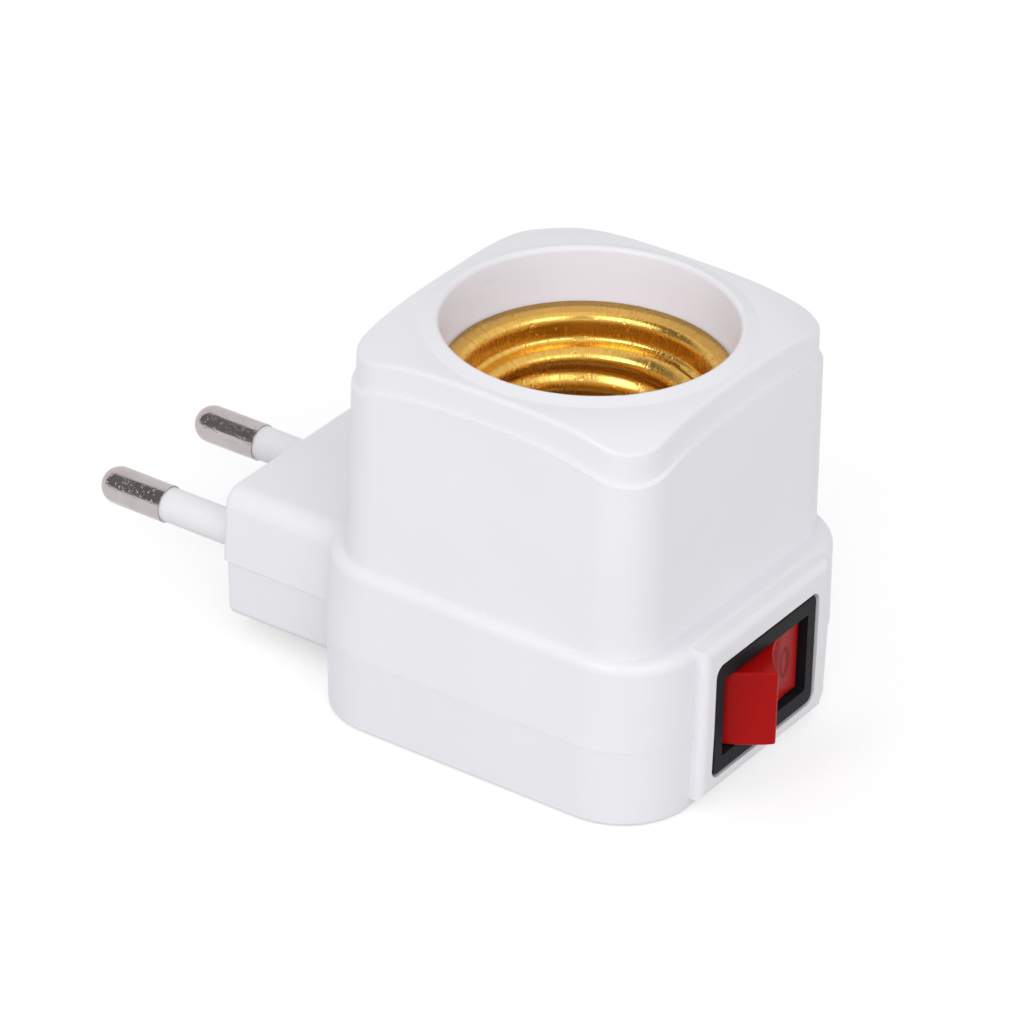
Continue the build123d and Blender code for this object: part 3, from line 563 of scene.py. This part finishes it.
def shellRings(s):
    # (radius, height) of each ring of the sheet's inside, from the rim down; no radius where the thread sets it
    bendZ = s["flareZ"] - s["flareDrop"]
    rings = [(s["flareR"], s["flareZ"]), (s["neckR"] + s["neckRound"], bendZ)]
    for turn in bendTurns(s, 1):
        rings.append((s["neckR"] + s["neckRound"] * (1 - sin(turn)), bendZ - s["neckRound"] * (1 - cos(turn))))
    for turn in bendTurns(s, 0):
        rings.append((s["neckR"] - s["stepRound"] * (1 - cos(turn)), s["stepZ"] + s["stepRound"] * (1 - sin(turn))))
    for turn in bendTurns(s, 0):
        rings.append((None, s["stepZ"] - s["shoulder"] * (1 - cos(turn))))
    z = rings[-1][1]
    while z > s["threadLow"]:
        z -= s["ringStep"]
        rings.append((None, z))
    middle = (s["crestR"] + s["rootR"]) / 2
    rings += [(middle, s["footZ"] + s["footRise"]), (middle - s["footTuck"], s["footZ"]), (s["footR"], s["footZ"])]
    return rings


def rolledRadius(s, angle, z):
    # the thread rises to the left as seen from the switch; a round shoulder leads in to it, and it fades at the foot
    middle = (s["crestR"] + s["rootR"]) / 2
    swing = (s["rootR"] - s["crestR"]) / 2
    lift = s["pitch"] * (angle - radians(s["crestAngle"])) / (2 * pi)
    wave = cos(2 * pi * (z - s["crestZ"] - lift) / s["pitch"])
    low = min(1, max(0, (z - s["threadLow"]) / s["threadFade"]))
    fade = low * low * (3 - 2 * low)
    rise = min(1, max(0, (z - s["stepZ"] + s["shoulder"]) / s["shoulder"]))
    return middle - swing * wave * fade + s["shoulder"] * (1 - sqrt(1 - rise * rise))


def makeShell(s):
    clearSelection()
    rings = shellRings(s)
    bpy.ops.mesh.primitive_circle_add(vertices=s["facets"], radius=s["flareR"], location=(0, 0, 0))
    piece = bpy.context.object
    piece.name = "rolledShell"
    bpy.ops.object.mode_set(mode="EDIT")
    bpy.ops.mesh.select_all(action="SELECT")
    bpy.ops.transform.translate(value=(0, 0, s["flareZ"]))
    radius, z = rings[0]
    for nextRadius, nextZ in rings[1:]:
        bpy.ops.mesh.extrude_region_move(TRANSFORM_OT_translate={"value": (0, 0, nextZ - z)})
        if nextRadius is not None:
            factor = nextRadius / radius
            bpy.ops.transform.resize(value=(factor, factor, 1))
            radius = nextRadius
        z = nextZ
    bpy.ops.object.mode_set(mode="OBJECT")
    for vertex in piece.data.vertices:
        x, y, height = vertex.co
        if rings[vertex.index // s["facets"]][0] is None:
            angle = atan2(y, x) % (2 * pi)
            r = rolledRadius(s, angle, height)
            vertex.co = (r * cos(angle), r * sin(angle), height)
    bpy.ops.object.mode_set(mode="EDIT")
    bpy.ops.mesh.select_all(action="SELECT")
    bpy.ops.mesh.remove_doubles(threshold=s["weld"])
    bpy.ops.mesh.normals_make_consistent(inside=True)
    bpy.ops.object.mode_set(mode="OBJECT")
    wall = piece.modifiers.new("sheet", "SOLIDIFY")
    wall.thickness = s["sheet"]
    wall.offset = -1
    bpy.ops.object.modifier_apply(modifier=wall.name)
    bpy.ops.object.shade_smooth()
    piece.data.materials.append(finishes["spunBrass"])
    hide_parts("screw_shell")
    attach(piece, "housing")


makeShell(shell)
print("screw shell rolled")


# the O and the bar on the key, laid on it as thin films in a deeper red, in metres; the deeper red is painted shade,
# standing in for the shade along the marks' moulded strokes
offMark = {"along": 0.0026, "tall": 0.0043, "stroke": 0.0007, "centre": (0.02545, 0.0055, 0.0110), "facets": 72}
onMark = {"along": 0.0006, "tall": 0.0042, "centre": (0.0278, -0.0010, 0.0110), "cells": (8, 2)}

markShadeFilm = {
    "lift": 0.00001,
    "thick": 0.00003,
    # painted shade: this deeper red stands for the shade in the marks' moulded strokes, not a colour of their own
    "low": (0.20, 0.002, 0.002),
    "high": (0.25, 0.003, 0.003),
    "gloss": (0.3, 0.42),
    "sheen": 0.12,
    "cloudScale": 300.0,
    "bump": 0.2,
    "dent": 0.00003,
}


# the marks' finish: a deeper red that paints the shade of their moulded strokes
def markShadeMaterial(f):
    material, tree, shader, place = startMaterial("markPaintedShade")
    surface = useGroup(tree, skinGroup, place, "Cloud Scale", f["cloudScale"])
    tree.links.new(mixColour(tree, surface["Cloud"], f["low"], f["high"]), shader.inputs["Base Color"])
    shader.inputs["Specular IOR Level"].default_value = f["sheen"]
    tree.links.new(remap(tree, surface["Cloud"], (0.0, 1.0), f["gloss"]), shader.inputs["Roughness"])
    addBump(tree, shader, surface["Height"], f["bump"], f["dent"])
    return material


def pressOnRocker(piece, f):
    wrap = piece.modifiers.new("press", "SHRINKWRAP")
    wrap.target = nodes["rocker"]
    wrap.wrap_method = "PROJECT"
    wrap.use_project_x = True
    wrap.use_project_y = False
    wrap.use_project_z = False
    wrap.use_negative_direction = True
    wrap.use_positive_direction = True
    wrap.offset = f["lift"]
    bpy.context.view_layer.objects.active = piece
    bpy.ops.object.modifier_apply(modifier=wrap.name)
    film = piece.modifiers.new("film", "SOLIDIFY")
    film.thickness = f["thick"]
    film.offset = 0
    bpy.ops.object.modifier_apply(modifier=film.name)


def startMark(name, m):
    piece = bpy.context.object
    piece.name = name
    bpy.ops.object.mode_set(mode="EDIT")
    bpy.ops.mesh.select_all(action="SELECT")
    bpy.ops.transform.resize(value=(m["tall"], m["along"], 1))
    return piece


def layMark(piece, m, material):
    # stands the flat outline up in front of the key, then presses it on
    bpy.ops.mesh.select_all(action="SELECT")
    bpy.ops.transform.rotate(value=-pi / 2, orient_axis="Y", center_override=(0, 0, 0))
    bpy.ops.transform.translate(value=m["centre"])
    bpy.ops.object.mode_set(mode="OBJECT")
    pressOnRocker(piece, markShadeFilm)
    piece.data.materials.append(material)
    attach(piece, "rocker")


def makeOffMark(m, material):
    clearSelection()
    bpy.ops.mesh.primitive_circle_add(vertices=m["facets"], radius=0.5, location=(0, 0, 0))
    piece = startMark("offMark", m)
    bpy.ops.mesh.extrude_region_move(TRANSFORM_OT_translate={"value": (0, 0, 0)})
    inner = [(size - 2 * m["stroke"]) / size for size in (m["tall"], m["along"])]
    bpy.ops.transform.resize(value=(*inner, 1))
    layMark(piece, m, material)


def makeOnMark(m, material):
    clearSelection()
    tallCells, longCells = m["cells"]
    bpy.ops.mesh.primitive_grid_add(x_subdivisions=tallCells, y_subdivisions=longCells, size=1, location=(0, 0, 0))
    layMark(startMark("onMark", m), m, material)


markShadeFinish = markShadeMaterial(markShadeFilm)
makeOffMark(offMark, markShadeFinish)
makeOnMark(onMark, markShadeFinish)
print("rocker marked")
